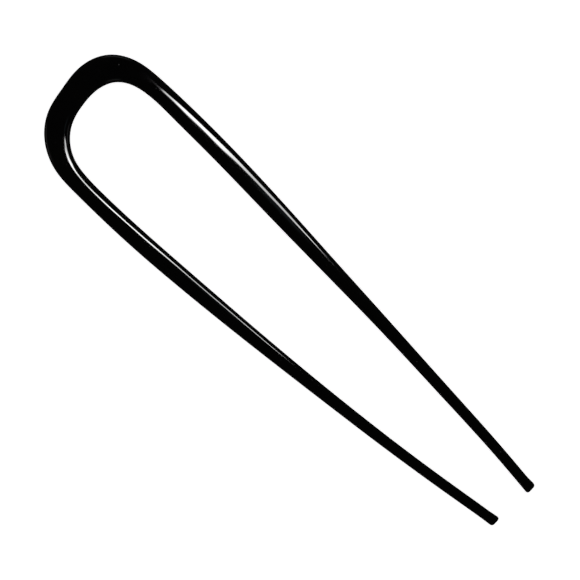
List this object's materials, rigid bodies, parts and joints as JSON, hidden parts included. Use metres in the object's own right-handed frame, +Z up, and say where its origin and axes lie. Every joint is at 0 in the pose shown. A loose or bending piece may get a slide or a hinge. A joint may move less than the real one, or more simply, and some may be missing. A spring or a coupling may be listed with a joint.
{
  "type": "u-shaped hair pin",
  "caption": "One-piece glossy black U-shaped hair pin with a broad flattened crown and two slim tapering legs that close in towards blunt rounded tips.",
  "frame": {"origin": "middle of the pin's outline, on the surface that it lies on", "axes": "+Y runs along the pin from the tips to the crown, +X across it, +Z up from the surface that it lies on"},
  "size_m": [0.0278, 0.12, 0.0034],
  "materials": {
    "black_gloss": "polished to a mirror gloss, solid black all through"
  },
  "bodies": {
    "root": {"hair_pin": "black_gloss"}
  },
  "joints": []
}
